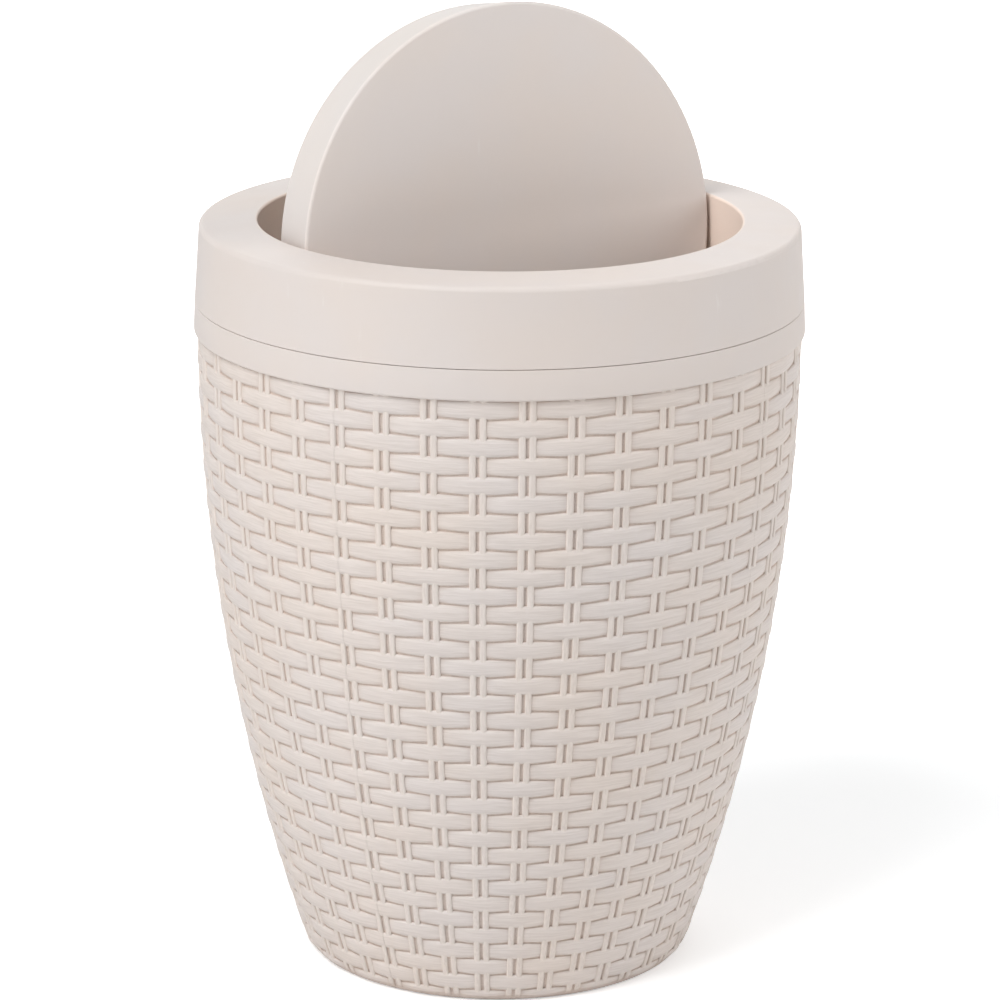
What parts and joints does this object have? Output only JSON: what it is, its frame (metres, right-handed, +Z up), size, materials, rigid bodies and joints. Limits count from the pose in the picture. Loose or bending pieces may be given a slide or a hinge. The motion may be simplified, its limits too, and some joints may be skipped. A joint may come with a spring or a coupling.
{
  "type": "swing-lid waste bin",
  "caption": "Round tapered waste bin with a basket-weave wall, a lift-off collar and a round swing flap shown open.",
  "frame": {"origin": "centre of the foot ring on the surface that the bin stands on", "axes": "+Z up, X along the flap's pivot; the open flap shows its top face towards -Y"},
  "size_m": [0.2418, 0.2418, 0.3855],
  "materials": {
    "bucket_plastic": "satin moulded plastic with a fine fibre grain on the weave",
    "collar_plastic": "smooth satin moulded plastic",
    "flap_plastic": "smooth satin moulded plastic",
    "pin_plastic": "smooth moulded plastic"
  },
  "bodies": {
    "bucket": {"bucket": "bucket_plastic"},
    "collar": {"collar": "collar_plastic"},
    "flap": {"flap_shell": "flap_plastic", "flap_cover": "flap_plastic", "pivot_pin_left": "pin_plastic", "pivot_pin_right": "pin_plastic"}
  },
  "joints": [
    {"name": "lid_lift", "type": "slide", "parent": "bucket", "child": "collar", "axis": [0, 0, 1], "range_m": [0, 0.14]},
    {"name": "flap_swing", "type": "hinge", "parent": "collar", "child": "flap", "pos_m": [0, 0, 0.29148], "axis": [1, 0, 0], "continuous": true}
  ]
}
